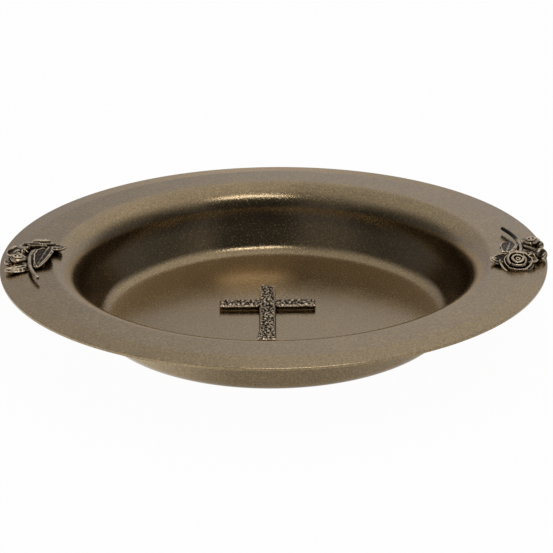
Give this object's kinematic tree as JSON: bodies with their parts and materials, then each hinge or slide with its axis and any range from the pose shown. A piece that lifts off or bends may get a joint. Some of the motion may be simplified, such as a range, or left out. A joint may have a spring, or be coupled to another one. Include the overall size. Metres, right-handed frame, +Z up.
{
  "type": "holy water stoup",
  "caption": "Low round free-standing holy water dish with a wide flat rim, a rough-cast cross lying on its floor and a cast rose spray on each side of the rim.",
  "frame": {"origin": "middle of the base, on the surface that the feet stand on", "axes": "+Z up along the bowl axis; +X towards the right-hand rose spray; -Y towards the viewer, the way the foot of the cross points"},
  "size_m": [0.2, 0.2, 0.0344],
  "materials": {
    "dish_coat": "satin antique-bronze coat with a fine metallic speckle",
    "cast_patina": "dark patina in the recesses, worn bright on the ridges",
    "zinc_steel": "zinc-plated steel",
    "seal_rubber": "matte black sealing rubber",
    "foot_rubber": "matte black rubber"
  },
  "bodies": {
    "root": {"dish": "dish_coat", "cross": "cast_patina", "rose_spray_right": "cast_patina", "rose_spray_left": "cast_patina", "cross_stud_top": "zinc_steel", "cross_washer_top": "zinc_steel", "cross_nut_top": "zinc_steel", "cross_seal_top": "seal_rubber", "cross_stud_foot": "zinc_steel", "cross_washer_foot": "zinc_steel", "cross_nut_foot": "zinc_steel", "cross_seal_foot": "seal_rubber", "rose_right_stud_bloom": "zinc_steel", "rose_right_washer_bloom": "zinc_steel", "rose_right_nut_bloom": "zinc_steel", "rose_right_stud_leaf": "zinc_steel", "rose_right_washer_leaf": "zinc_steel", "rose_right_nut_leaf": "zinc_steel", "rose_left_stud_bloom": "zinc_steel", "rose_left_washer_bloom": "zinc_steel", "rose_left_nut_bloom": "zinc_steel", "rose_left_stud_leaf": "zinc_steel", "rose_left_washer_leaf": "zinc_steel", "rose_left_nut_leaf": "zinc_steel", "foot_1": "foot_rubber", "foot_2": "foot_rubber", "foot_3": "foot_rubber", "foot_4": "foot_rubber"}
  },
  "joints": []
}
